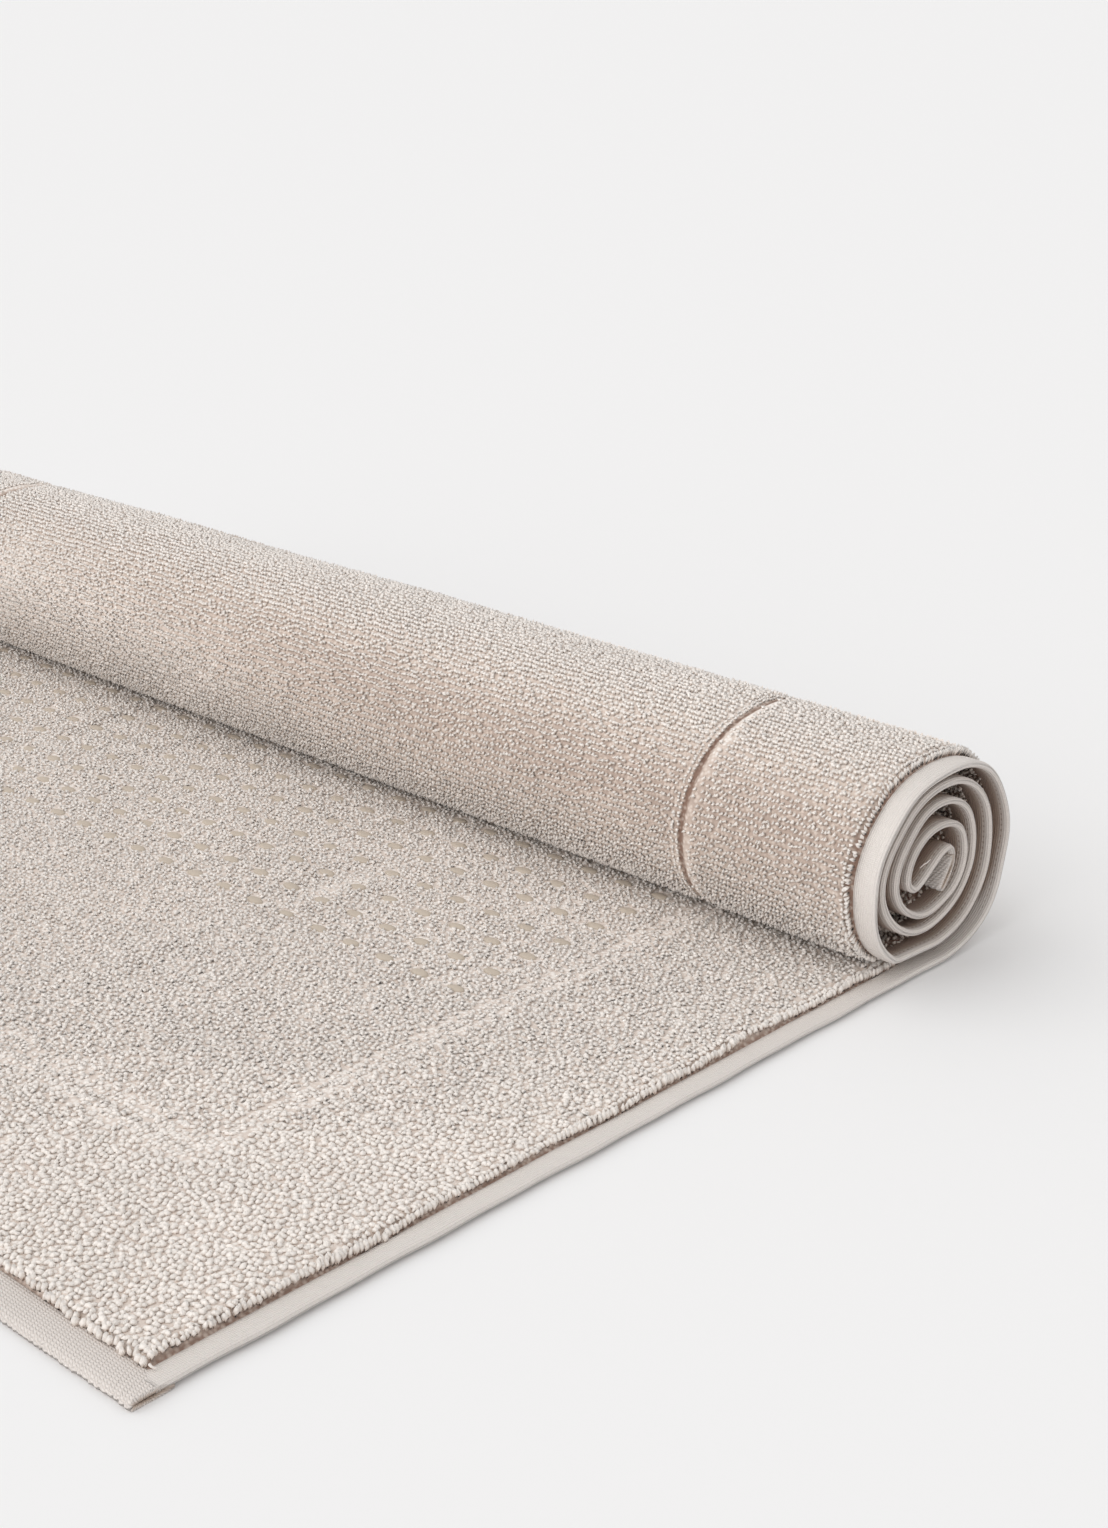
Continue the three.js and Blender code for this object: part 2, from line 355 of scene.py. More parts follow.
def roll_shade(x, s):
    """1 where the roll's outer pile opens into brown gaps of painted shade between thinner loops: high on its
    front, most near the open end.
    """
    near_end = smoothstep(x, SHADE["from_x"], SHADE["to_x"])
    away = (turn_at(s) - SHADE["turn"] - SHADE["lean"] * near_end) / SHADE["half"]
    return np.exp(-away**2) * (SHADE["least"] + (1 - SHADE["least"]) * near_end)


def ground_face(x, s):
    share = rolled_share(s)
    crease, band = on_frame(x, s)
    height = (1 - share) * GROUND["flat_face"] + share * GROUND["rolled"]
    relief = FACE_RELIEF["band"] * band + FACE_RELIEF["crease"] * crease
    return height + unevenness(x, s) + (1 - share) * relief


def ground_back(x, s):
    share = rolled_share(s)
    crease, band = on_frame(x, s)
    depth = (1 - share) * GROUND["flat_back"] - share * GROUND["rolled"]
    raised = np.where(turn_at(s) > BACK_FOLLOWS, unevenness(x, s), 0)
    return depth + raised + share * (BACK_RELIEF["crease"] * crease + BACK_RELIEF["band"] * band)


def tucked(x, s, off, half):
    """Brings the cloth's edge into its hems: off at the pile, the hem's own middle plus half at the edge."""
    side, end = from_edges(x, s)
    at_side = 1 - smoothstep(side, SIDE_HEM["width"], SIDE_HEM["width"] + TUCK["side"])
    at_end = 1 - smoothstep(end, END_HEM["width"], END_HEM["width"] + TUCK["end"])
    end_middle = np.where(s < LENGTH / 2, END_HEM["thickness"] / 2 - flat_middle, 0)
    off = off + at_end * (end_middle + half - off)
    return off + at_side * (1 - at_end) * (hem_off(s) + half - off)


def mesh_piece(name, points, faces, material, high=1.0, tone_and_shading=0.0, flat=None):
    """A piece from arrays: its points in metres, faces of one kind, how high each point seems to lie in the
    pile, which sets its painted shade, how much paler it is, by its own tone and by painted light and shade,
    and where it would be if the cloth lay flat."""
    mesh = bpy.data.meshes.new(name)
    points = np.reshape(points, (-1, 3)).astype(np.float32)
    faces = np.array(faces, np.int32)
    mesh.vertices.add(len(points))
    mesh.vertices.foreach_set("co", points.ravel())
    mesh.loops.add(faces.size)
    mesh.polygons.add(len(faces))
    mesh.polygons.foreach_set("loop_start", np.arange(0, faces.size, faces.shape[1], dtype=np.int32))
    mesh.polygons.foreach_set("vertices", faces.ravel())
    mesh.update(calc_edges=True)
    mesh.validate()
    for field, values in (("rise", high), ("tone_and_shading", tone_and_shading)):
        layer = mesh.attributes.new(field, "FLOAT", "POINT")
        layer.data.foreach_set("value", np.broadcast_to(values, len(points)).astype(np.float32))
    if flat is not None:
        layer = mesh.uv_layers.new(name="laid_flat")
        layer.uv.foreach_set("vector", flat[faces.ravel()].astype(np.float32).ravel())
    mesh.shade_smooth()
    mesh.materials.append(material)
    piece = bpy.data.objects.new(name, mesh)
    bpy.context.scene.collection.objects.link(piece)
    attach(piece, "root")
    return piece


# Cotton colour, shared by the loops, the ground and the hems: unbleached warm taupe, with painted shade
# deeper and browner down between the loops, a little uneven from yarn to yarn and over the width of a hand.
def node(tree, kind, links=(), **settings):
    """A node with its settings, and its inputs by name or number: a value, or a socket to link."""
    made = tree.nodes.new(kind)
    for key, value in settings.items():
        setattr(made, key, value)
    for socket, value in dict(links).items():
        if isinstance(value, bpy.types.NodeSocket):
            tree.links.new(value, made.inputs[socket])
        else:
            made.inputs[socket].default_value = value
    return made


def maths(tree, operation, a, b=0.0, c=0.0):
    return node(tree, "ShaderNodeMath", {0: a, 1: b, 2: c}, operation=operation).outputs[0]


def show_relief(tree, height, distance, strength, invert=False):
    """Shows a height as relief on the material's surface, as deep as the distance in metres."""
    raised = node(tree, "ShaderNodeBump", {"Height": height, "Distance": distance, "Strength": strength},
                  invert=invert)
    tree.links.new(raised.outputs["Normal"], tree.nodes["Principled BSDF"].inputs["Normal"])


YARN = (0.90, 0.845, 0.797, 1)
# Painted shade: the colour down between the loops, and the deepest brown one.
HOLLOW_SHADE = (0.77, 0.64, 0.55, 1)
DEEP_SHADE = (0.27, 0.175, 0.135, 1)
CLOUD = {"scale": 19.0, "spread": 0.10}
FIBRE = {"scale": 2300.0, "spread": 0.10}
TONE_SPREAD = 0.05

# The shared colour group, which paints the shade between the loops into the colour.
dye_and_shade = bpy.data.node_groups.new("cotton_colour_and_shade", "ShaderNodeTree")
for label, kind, value in (
        ("Yarn", "NodeSocketColor", YARN), ("Hollow_shade", "NodeSocketColor", HOLLOW_SHADE),
        ("Rise", "NodeSocketFloat", 1.0), ("Tone_and_shading", "NodeSocketFloat", 0.0)):
    socket = dye_and_shade.interface.new_socket(label, in_out="INPUT", socket_type=kind)
    socket.default_value = value
for label, kind in (("Colour", "NodeSocketColor"), ("Fibre", "NodeSocketFloat")):
    dye_and_shade.interface.new_socket(label, in_out="OUTPUT", socket_type=kind)
given = dye_and_shade.nodes.new("NodeGroupInput").outputs
put_out = dye_and_shade.nodes.new("NodeGroupOutput").inputs
place = node(dye_and_shade, "ShaderNodeTexCoord").outputs["Object"]
cloud = node(dye_and_shade, "ShaderNodeTexNoise", {
    "Vector": place, "Scale": CLOUD["scale"], "Detail": 2.0}).outputs["Fac"]
fibre = node(dye_and_shade, "ShaderNodeTexNoise", {
    "Vector": place, "Scale": FIBRE["scale"], "Detail": 1.0}).outputs["Fac"]
# Rise 1 gives the yarn's colour, 0 the painted shade of the hollows, -1 the deepest painted shade.
lit = node(dye_and_shade, "ShaderNodeMapRange", {"Value": given["Rise"], "From Min": -1.0, "From Max": 0.0}).outputs[0]
under = node(dye_and_shade, "ShaderNodeMix", {0: lit, 6: DEEP_SHADE, 7: given["Hollow_shade"]}, data_type="RGBA").outputs[2]
depth = node(dye_and_shade, "ShaderNodeMapRange", {
    "Value": given["Rise"], "From Min": 0.0, "From Max": 0.75}, interpolation_type="SMOOTHSTEP").outputs[0]
base = node(dye_and_shade, "ShaderNodeMix", {0: depth, 6: under, 7: given["Yarn"]}, data_type="RGBA").outputs[2]
spread = maths(dye_and_shade, "MULTIPLY_ADD", cloud, CLOUD["spread"], 1 - CLOUD["spread"] / 2)
spread = maths(dye_and_shade, "ADD", spread, maths(dye_and_shade, "MULTIPLY", given["Tone_and_shading"], TONE_SPREAD))
spread = maths(dye_and_shade, "ADD", spread, maths(
    dye_and_shade, "MULTIPLY_ADD", fibre, FIBRE["spread"], -FIBRE["spread"] / 2))
toned = node(dye_and_shade, "ShaderNodeVectorMath", {0: base, "Scale": spread}, operation="SCALE").outputs[0]
dye_and_shade.links.new(toned, put_out["Colour"])
dye_and_shade.links.new(fibre, put_out["Fibre"])


def cotton_material(name, yarn, hollow_shade, sheen):
    """The cotton finish: its colour, with painted shade in the hollows, and fibre from the shared group, and
    a soft bloom of loose fibre over it. Gives the material, its nodes, its node of the shared group, and its
    field of how high a place lies, which sets the painted shade."""
    material = bpy.data.materials.new(name)
    material.use_nodes = True
    tree = material.node_tree
    shader = tree.nodes["Principled BSDF"]
    for socket, value in (("Roughness", 0.92), ("Specular IOR Level", 0.2), ("Sheen Weight", sheen),
                          ("Sheen Roughness", 0.5)):
        shader.inputs[socket].default_value = value
    risen = node(tree, "ShaderNodeAttribute", attribute_name="rise").outputs["Fac"]
    toned = node(tree, "ShaderNodeAttribute", attribute_name="tone_and_shading").outputs["Fac"]
    colour = node(tree, "ShaderNodeGroup", {
        "Yarn": yarn, "Hollow_shade": hollow_shade, "Rise": risen, "Tone_and_shading": toned}, node_tree=dye_and_shade)
    tree.links.new(colour.outputs["Colour"], shader.inputs["Base Color"])
    return material, tree, colour, risen


# The ground's own surface has small dimples between the roots of the loops, with painted shade: pale on top
# and brown below.
GROUND_HOLLOW_SHADE = (0.67, 0.565, 0.495, 1)
DIMPLES = {"scale": 620.0, "uneven": 0.9, "depth": 0.0006, "strength": 0.7, "from": 0.2, "to": 0.6}
DIMPLE_SHADE = {"top": 0.5, "hollow_shade": -0.1}

ground_cotton, tree, colour, risen = cotton_material("ground_cotton", YARN, GROUND_HOLLOW_SHADE, 0.05)
on_piece = node(tree, "ShaderNodeTexCoord").outputs["Object"]
dimples = node(tree, "ShaderNodeTexVoronoi", {
    "Vector": on_piece, "Scale": DIMPLES["scale"], "Randomness": DIMPLES["uneven"]}).outputs["Distance"]
show_relief(tree, dimples, DIMPLES["depth"], DIMPLES["strength"], invert=True)
dimple_shade_level = node(tree, "ShaderNodeMapRange", {
    "Value": dimples, "From Min": DIMPLES["from"], "From Max": DIMPLES["to"],
    "To Min": DIMPLE_SHADE["top"], "To Max": DIMPLE_SHADE["hollow_shade"]}).outputs[0]
tree.links.new(maths(tree, "ADD", risen, dimple_shade_level), colour.inputs["Rise"])

# Its grid is finest along the hems, over the frame line and in the roll's core.
FRAME_STEPS = (-20, -13, -9, -7, -5, -2.5, -0.6, 0, 0.7, 1.4, 3, 7)
SIDE_STEPS = (5, 8, 9.2, 10.8, 12.6, 16, 24, 36, 50, 64)
END_STEPS = (7, 12, 13.2, 15, 18, 24, 34, 46, 56)
INNER_STEPS = 18
LAST_STEPS = (12, 7)
STEP = {"flat": 5.5, "outer": 3.6, "wound": 3.2, "core": 2.2}
CORE_STARTS_AT = 900

side_steps = sorted({*SIDE_STEPS, *(FRAME["from_side"] + step for step in FRAME_STEPS)})
end_steps = sorted({*END_STEPS, *(FRAME["from_end"] + step for step in FRAME_STEPS)})
inner_steps = np.linspace(side_steps[-1], WIDTH / 2, INNER_STEPS + 1)[1:]
ground_x = WIDTH / 2 - np.hstack([side_steps, inner_steps])
ground_x = np.hstack([-ground_x, ground_x[-2::-1]])
flat_ends, outer_ends, core_starts = s_at(ROLL_STARTS_AT), s_at(270), s_at(CORE_STARTS_AT)
ground_s = np.hstack([
    end_steps, np.arange(94, flat_ends, STEP["flat"]), np.arange(flat_ends, outer_ends, STEP["outer"]),
    np.arange(outer_ends, core_starts, STEP["wound"]), np.arange(core_starts, LENGTH - 13.5, STEP["core"]),
    LENGTH - np.array(LAST_STEPS)])

# How high the ground seems to lie, which sets its painted shade: 1 has the yarn's colour, 0 the hollow's
# painted shade, -1 the deepest brown painted shade.
FACE_HIGH = 0.35
BACK_HIGH = 0.4
PALE_BAND = 0.05
# How much deeper the painted shade is in each of these places.
PAINTED_SHADE = {"between_turns": 1.1, "by_hem": 1.2, "crease": 1.7, "wound_back": 0.9, "shade": 0.75}

across, along = np.meshgrid(ground_x, ground_s)
points = [on_cloth(across, along, tucked(across, along, surface(across, along), half))
          for surface, half in ((ground_face, 0.5), (ground_back, -0.5))]
count = across.size
corner = np.arange(count).reshape(across.shape)
face_quads = np.stack([corner[:-1, :-1], corner[:-1, 1:], corner[1:, 1:], corner[1:, :-1]], -1).reshape(-1, 4)
loop_of_rim = np.hstack([corner[0, :-1], corner[:-1, -1], corner[-1, :0:-1], corner[:0:-1, 0]])
next_on_rim = np.roll(loop_of_rim, -1)
rim_quads = np.stack([loop_of_rim, loop_of_rim + count, next_on_rim + count, next_on_rim], -1)
crease, band = on_frame(across, along)
side, end = from_edges(across, along)
turn = turn_at(along)
# Painted shade on the ground: beside the hems, on the face wherever the roll covers it, in the frame line's
# crease, on the back inside the roll and in the roll's shaded band, and a little less on the woven band.
by_hem = np.maximum(1 - smoothstep(side, 9.4, 11.5), 1 - smoothstep(end, 12.0, 13.6))
inward = PAINTED_SHADE["between_turns"] * smoothstep(turn, -60, -10)
face_high = FACE_HIGH - inward - PAINTED_SHADE["by_hem"] * by_hem
back_high = BACK_HIGH + PALE_BAND * band - PAINTED_SHADE["crease"] * crease
back_high -= PAINTED_SHADE["wound_back"] * smoothstep(turn, 250, 290) + PAINTED_SHADE["by_hem"] * by_hem
back_high -= PAINTED_SHADE["shade"] * roll_shade(across, along)
ground_shade = np.hstack([face_high.ravel(), back_high.ravel()]).clip(-1, 1)
faces = np.vstack([face_quads, face_quads[:, ::-1] + count, rim_quads])
cloth_map = np.stack([across.ravel(), along.ravel()], -1) * MM
ground = mesh_piece("ground_cloth", points, faces, ground_cotton, ground_shade, flat=np.vstack([cloth_map] * 2))
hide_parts("bath_mat")


# Side hems: the selvedge of each long side, folded under twice and sewn down, 8 mm wide, smooth and pale. It
# follows the cloth into the roll, where it is drawn in a little between the thick piled turns. On the floor
# its outer edge lifts a little. Widths and heights are in millimetres, the weave and stitches in metres.
SIDE_PROFILE = (
    # in from the edge, half thickness
    (0.0, 0.0), (0.12, 0.5), (0.5, 0.95), (1.15, 1.2), (1.75, 1.12), (2.05, 1.12), (2.4, 1.16), (3.2, 1.25),
    (5.0, 1.28), (6.8, 1.2), (8.0, 1.0), (9.4, 0.6),
)
EDGE_LIFT = 0.9
RIB_PITCH = 0.00085
PICK_PITCH = 0.0007
WEAVE_RELIEF = {"ribs": 0.7, "picks": 0.3, "depth": 0.0002, "strength": 0.7}
STITCH = {"in": 0.0031, "half": 0.00028, "pitch": 0.0023, "share": 0.4, "dark": -0.22, "sunk": -1.2}
HEM_PALE = (0.765, 0.713, 0.672, 1)
# Painted shade in the hems' hollows.
HEM_HOLLOW_SHADE = (0.42, 0.32, 0.26, 1)


def ring_faces(rows, around):
    """The rings' points by number, the points beside them, and the quads of the skin round them all."""
    ring = np.arange(rows * around).reshape(rows, around)
    beside = np.roll(ring, -1, axis=1)
    return ring, beside, np.stack([ring[:-1], beside[:-1], beside[1:], ring[1:]], -1).reshape(-1, 4)


def tube_faces(rows, around):
    """The quads of a tube, closed at both ends."""
    ring, _, quads = ring_faces(rows, around)
    first, last = ring[0], ring[-1]
    caps = []
    for i in range(1, around // 2):
        caps.append((first[i], first[i + 1], first[-i - 1], first[-i]))
        caps.append((last[-i], last[-i - 1], last[i + 1], last[i]))
    return np.vstack([quads, [cap for cap in caps if len(set(cap)) == 4]])


def laid_flat(tree):
    """Metres across and along a hem, as if it lay flat."""
    flat = node(tree, "ShaderNodeUVMap", uv_map="laid_flat").outputs[0]
    return node(tree, "ShaderNodeSeparateXYZ", {0: flat}).outputs


hem_cotton, tree, colour, risen = cotton_material("hem_cotton", HEM_PALE, HEM_HOLLOW_SHADE, 0.1)
over_hem, along_hem, _ = laid_flat(tree)
ribs = maths(tree, "SINE", maths(tree, "MULTIPLY", over_hem, 2 * math.pi / RIB_PITCH))
picks = maths(tree, "SINE", maths(tree, "MULTIPLY", along_hem, 2 * math.pi / PICK_PITCH))
weave = maths(tree, "MULTIPLY", picks, WEAVE_RELIEF["picks"])
weave = maths(tree, "MULTIPLY_ADD", ribs, WEAVE_RELIEF["ribs"], weave)
weave = maths(tree, "ADD", weave, colour.outputs["Fibre"])
# The stitches: thread sunk into the hem and darker, partly its own colour and partly painted shade in the
# stitch holes.
off_line = maths(tree, "ABSOLUTE", maths(tree, "SUBTRACT", over_hem, STITCH["in"]))
on_line = maths(tree, "LESS_THAN", off_line, STITCH["half"])
along_stitch = maths(tree, "FRACT", maths(tree, "DIVIDE", along_hem, STITCH["pitch"]))
in_stitch = maths(tree, "LESS_THAN", along_stitch, STITCH["share"])
pricked = maths(tree, "MULTIPLY", on_line, in_stitch)
tree.links.new(maths(tree, "MULTIPLY_ADD", pricked, STITCH["dark"], risen), colour.inputs["Rise"])
weave = maths(tree, "MULTIPLY_ADD", pricked, STITCH["sunk"], weave)
show_relief(tree, weave, WEAVE_RELIEF["depth"], WEAVE_RELIEF["strength"])

hem_s = np.hstack([
    np.arange(8.5, 60, 1.6), np.arange(60, flat_ends, 4), np.arange(flat_ends, core_starts, 2.6),
    np.arange(core_starts, LENGTH - 8.5, 1.8)])
upper_in, upper_off = np.array(SIDE_PROFILE).T
profile_in = np.hstack([upper_in, upper_in[:0:-1]])
profile_off = np.hstack([upper_off, -upper_off[:0:-1]])
outward = 1 - profile_in / profile_in.max()
for side, sign in (("left", -1), ("right", 1)):
    s = hem_s[:, None] + np.zeros(len(profile_in))
    wander = 0.3 * np.sin(s / 13 + sign) * np.sin(s / 31) + 0.15 * np.sin(s / 4.7 + 2 * sign)
    x = sign * (WIDTH / 2 - profile_in - wander * outward)
    swelling = 1 + 0.06 * np.sin(s / 9 + 3 * sign)
    off = hem_off(s) + profile_off * swelling + EDGE_LIFT * (1 - rolled_share(s)) * outward
    off = np.maximum(off, np.where(rolled_share(s) > 0, -np.inf, -flat_middle))
    points = on_cloth(x, s, off)
    faces = tube_faces(*s.shape)[:, ::-sign]
    hem_map = np.stack([walked(profile_in, profile_off) + np.zeros_like(s), s], -1).reshape(-1, 2) * MM
    # Painted shade on the side hems: in the groove along the fold and at the inner edge, and inside the roll
    # between the turns, darker further in from the rim.
    hollow_shade = np.exp(-((profile_in - 2.05) / 0.3)**2) + smoothstep(profile_in, 8, 9.4)
    deeper_in = smoothstep(profile_in, 1.6, 6)
    turn = turn_at(s)
    between_turns = np.where(profile_off > 0, smoothstep(turn, -60, -10), smoothstep(turn, 255, 290))
    rise = 1 - 0.15 * np.clip(hollow_shade, 0, 1) - (0.45 + 1.1 * deeper_in) * between_turns
    hem = mesh_piece(f"side_hem_{side}", points, faces, hem_cotton, rise.ravel(), flat=hem_map)


# End hems: each end of the cloth turned under and sewn into a flat tunnel, 12 mm wide and open at the mat's
# sides. It is ribbed, thicker than the side hems, and its outer fold is bumpy where the ribs run over it.
# The profile, the slot inside and the creases by the open end are in millimetres, the marks in metres.
TUNNEL_PROFILE = (
    # in from the end, height over the underside
    (0.0, 1.45), (0.2, 2.15), (0.8, 2.8), (2.0, 3.12), (4.2, 3.2), (6.8, 3.12), (9.2, 2.9), (11.2, 2.6),
    (12.3, 1.9), (13.6, 1.5), (13.6, 0.5), (11.2, 0.1), (9.2, 0.0), (6.8, 0.0), (4.2, 0.0), (2.0, 0.0),
    (0.8, 0.12), (0.2, 0.7),
)
TUNNEL_SLOT = {"from": 1.5, "to": 10.9, "middle": 1.5, "half": 0.42}
TUNNEL_CREASES = ((4.6, 0.26), (8.2, 0.34), (12.4, 0.2))
CREASE_BOW = 1.6
CREASE_HALF = 0.55
FOLD_BUMP = {"pitch": 2.3, "depth": 0.3, "reach": 0.9}
CORE_HEM_MIDDLE = 1.6
ROW_PITCH = 0.00102
MARK = {"long": 0.00145, "shift": 0.37, "slant": 0.55, "depth": 0.00032, "strength": 0.8, "pale": 0.25}
END_PALE = (0.745, 0.69, 0.65, 1)
# Painted shade in the end hems' hollows.
END_HOLLOW_SHADE = (0.46, 0.36, 0.29, 1)

end_cotton, tree, colour, risen = cotton_material("end_hem_cotton", END_PALE, END_HOLLOW_SHADE, 0.1)
over_hem, along_hem, _ = laid_flat(tree)
row = maths(tree, "DIVIDE", over_hem, ROW_PITCH)
in_row = maths(tree, "SUBTRACT", maths(tree, "FRACT", row), 0.5)
marks = maths(tree, "DIVIDE", along_hem, MARK["long"])
marks = maths(tree, "MULTIPLY_ADD", maths(tree, "FLOOR", row), MARK["shift"], marks)
in_mark = maths(tree, "SUBTRACT", maths(tree, "FRACT", marks), 0.5)
slanted = maths(tree, "MULTIPLY_ADD", in_row, MARK["slant"], in_mark)
reach = maths(tree, "MULTIPLY", slanted, slanted)
reach = maths(tree, "ADD", reach, maths(tree, "MULTIPLY", in_row, in_row))
mark = node(tree, "ShaderNodeMapRange", {
    "Value": reach, "From Min": 0.02, "From Max": 0.3, "To Min": 1.0, "To Max": 0.0},
    interpolation_type="SMOOTHSTEP").outputs[0]
height = maths(tree, "MULTIPLY_ADD", colour.outputs["Fibre"], 0.5, mark)
show_relief(tree, height, MARK["depth"], MARK["strength"])
# Painted shade on the end hems: the marks paler, the grooves between them darker.
paler = maths(tree, "MULTIPLY_ADD", mark, MARK["pale"], 0.55)
tree.links.new(maths(tree, "MULTIPLY", risen, paler), colour.inputs["Rise"])

tunnel_in, tunnel_up = np.array(TUNNEL_PROFILE).T
upper = np.sign(np.round(tunnel_up - TUNNEL_SLOT["middle"], 1))
share = tunnel_in / tunnel_in.max()
slot_in = TUNNEL_SLOT["from"] + share * (TUNNEL_SLOT["to"] - TUNNEL_SLOT["from"])
slot_up = TUNNEL_SLOT["middle"] + upper * TUNNEL_SLOT["half"] * np.sin(np.pi * share)**0.6
round_tunnel = walked(tunnel_in, tunnel_up)
fine_x = np.arange(0, 60, 0.75)
hem_x = np.hstack([-WIDTH / 2 + fine_x, np.linspace(-240, 240, 190)[:-1], WIDTH / 2 - fine_x[::-1]])
for end in ("front", "inner"):
    rng = np.random.default_rng(len(end))
    x = hem_x[:, None] + np.zeros(len(tunnel_in))
    from_side = WIDTH / 2 - np.abs(x)
    up = tunnel_up + np.zeros_like(x)
    top = smoothstep(up, 1.5, 2.6)
    bowed = CREASE_BOW * ((tunnel_in - 5.5) / 5.5)**2
    for at, deep in TUNNEL_CREASES:
        up = up - deep * top * np.exp(-((from_side - at + bowed) / CREASE_HALF)**2)
    up = up + 0.08 * top * np.sin(x / 11) + 0.05 * top * np.sin(x / 3.7)
    fold = np.exp(-tunnel_in / FOLD_BUMP["reach"])
    nub = np.sin(x / FOLD_BUMP["pitch"] * 2 * np.pi + 1.4 * np.sin(x / 7))
    nub = FOLD_BUMP["depth"] * (nub + rng.normal(0, 0.5, (len(hem_x), 1)))
    inward = tunnel_in + fold * (nub + 0.35 * np.sin(x / 23)) + 0.35
    up = up + fold * 0.35 * nub * (tunnel_up > 1)
    if end == "front":
        start, inwards, middle = 0, 1, flat_middle
    else:
        start, inwards, middle = LENGTH, -1, CORE_HEM_MIDDLE
    skins = [on_cloth(x, start + inwards * inward, up - middle).reshape(-1, 3),
             on_cloth(x, start + inwards * (slot_in + 0.3), slot_up - middle).reshape(-1, 3)]
    skin, beside, outer = ring_faces(*x.shape)
    lips = []
    for last, order in ((0, 1), (-1, -1)):
        a, b = skin[last], beside[last]
        lips.append(np.stack([a, b, b + x.size, a + x.size], -1)[:, ::-order])
    faces = np.vstack([outer, outer[:, ::-1] + x.size, *lips])[:, ::inwards]
    # Painted shade: the skin darker along the hem's inner edge by the pile, and dark inside the tunnel.
    unshaded = 1 - 0.5 * smoothstep(tunnel_in, 11.6, 12.6) + np.zeros_like(x)
    rise = np.hstack([unshaded.ravel(), np.full(x.size, 0.1)])
    hem_map = np.stack([round_tunnel + np.zeros_like(x), x + WIDTH], -1).reshape(-1, 2) * MM
    hem = mesh_piece(f"{end}_hem", np.vstack(skins), faces, end_cotton, rise, flat=np.vstack([hem_map] * 2))


# The pile: uncut loops of soft two-ply cotton that stand 1 to 1.5 mm out of the ground, each about 3 mm long
# and nearly 2 mm wide. On the laid face they curl every way. On the outer side of the roll they are short
# slanting strokes in rows along it. They are simpler where the picture shows them small or not at all. The
# yarn and span here are those of a loop before it is stretched, in millimetres.
YARN_THICK = 1.3
LOOP_SPAN = 1.75
CRIMP = {"scale": 1050.0, "fibre": 0.4, "depth": 0.00055, "strength": 0.7}


def spun_loop(sides, steps):
    """One loop: a round of yarn swept over in a half circle, its two ends drawn to points in the ground.
    Gives its points with a height of 1, its triangles, and the height of each point."""
    bpy.ops.mesh.primitive_circle_add(
        vertices=sides, radius=YARN_THICK / 2, location=(LOOP_SPAN / 2, 0, 0),
        rotation=(0, 0, -math.pi / 2))
    loop = bpy.context.object
    bpy.ops.object.mode_set(mode="EDIT")
    bpy.ops.mesh.select_all(action="SELECT")
    bpy.ops.mesh.spin(steps=steps, angle=math.pi, center=(0, 0, 0), axis=(0, 1, 0))
    for at in (1, -1):
        bpy.ops.object.mode_set(mode="OBJECT")
        for vertex in loop.data.vertices:
            place = loop.matrix_world @ vertex.co
            vertex.select = abs(place.z) < 0.001 and place.x * at > 0
        bpy.ops.object.mode_set(mode="EDIT")
        bpy.ops.mesh.merge(type="CENTER")
        bpy.ops.mesh.select_all(action="DESELECT")
    bpy.ops.mesh.select_all(action="SELECT")
    bpy.ops.mesh.quads_convert_to_tris()
    bpy.ops.mesh.normals_make_consistent(inside=False)
    bpy.ops.object.mode_set(mode="OBJECT")
    points = np.array([loop.matrix_world @ vertex.co for vertex in loop.data.vertices])
    faces = np.array([list(face.vertices) for face in loop.data.polygons])
    bpy.data.objects.remove(loop)
    tallest = points[:, 2].max()
    return points / (1, 1, tallest), faces, np.clip(points[:, 2] / tallest, 0, 1)


FULL_LOOP = spun_loop(4, 5)
GOOD_LOOP = spun_loop(4, 3)
PLAIN_LOOP = spun_loop(3, 3)
FAR_LOOP = spun_loop(4, 2)

pile_cotton, tree, colour, _ = cotton_material("pile_cotton", YARN, HOLLOW_SHADE, 0.12)
on_piece = node(tree, "ShaderNodeTexCoord").outputs["Object"]
crimp = node(tree, "ShaderNodeTexNoise", {
    "Vector": on_piece, "Scale": CRIMP["scale"], "Detail": 1.0}).outputs["Fac"]
crimp = maths(tree, "MULTIPLY_ADD", colour.outputs["Fibre"], CRIMP["fibre"], crimp)
show_relief(tree, crimp, CRIMP["depth"], CRIMP["strength"])


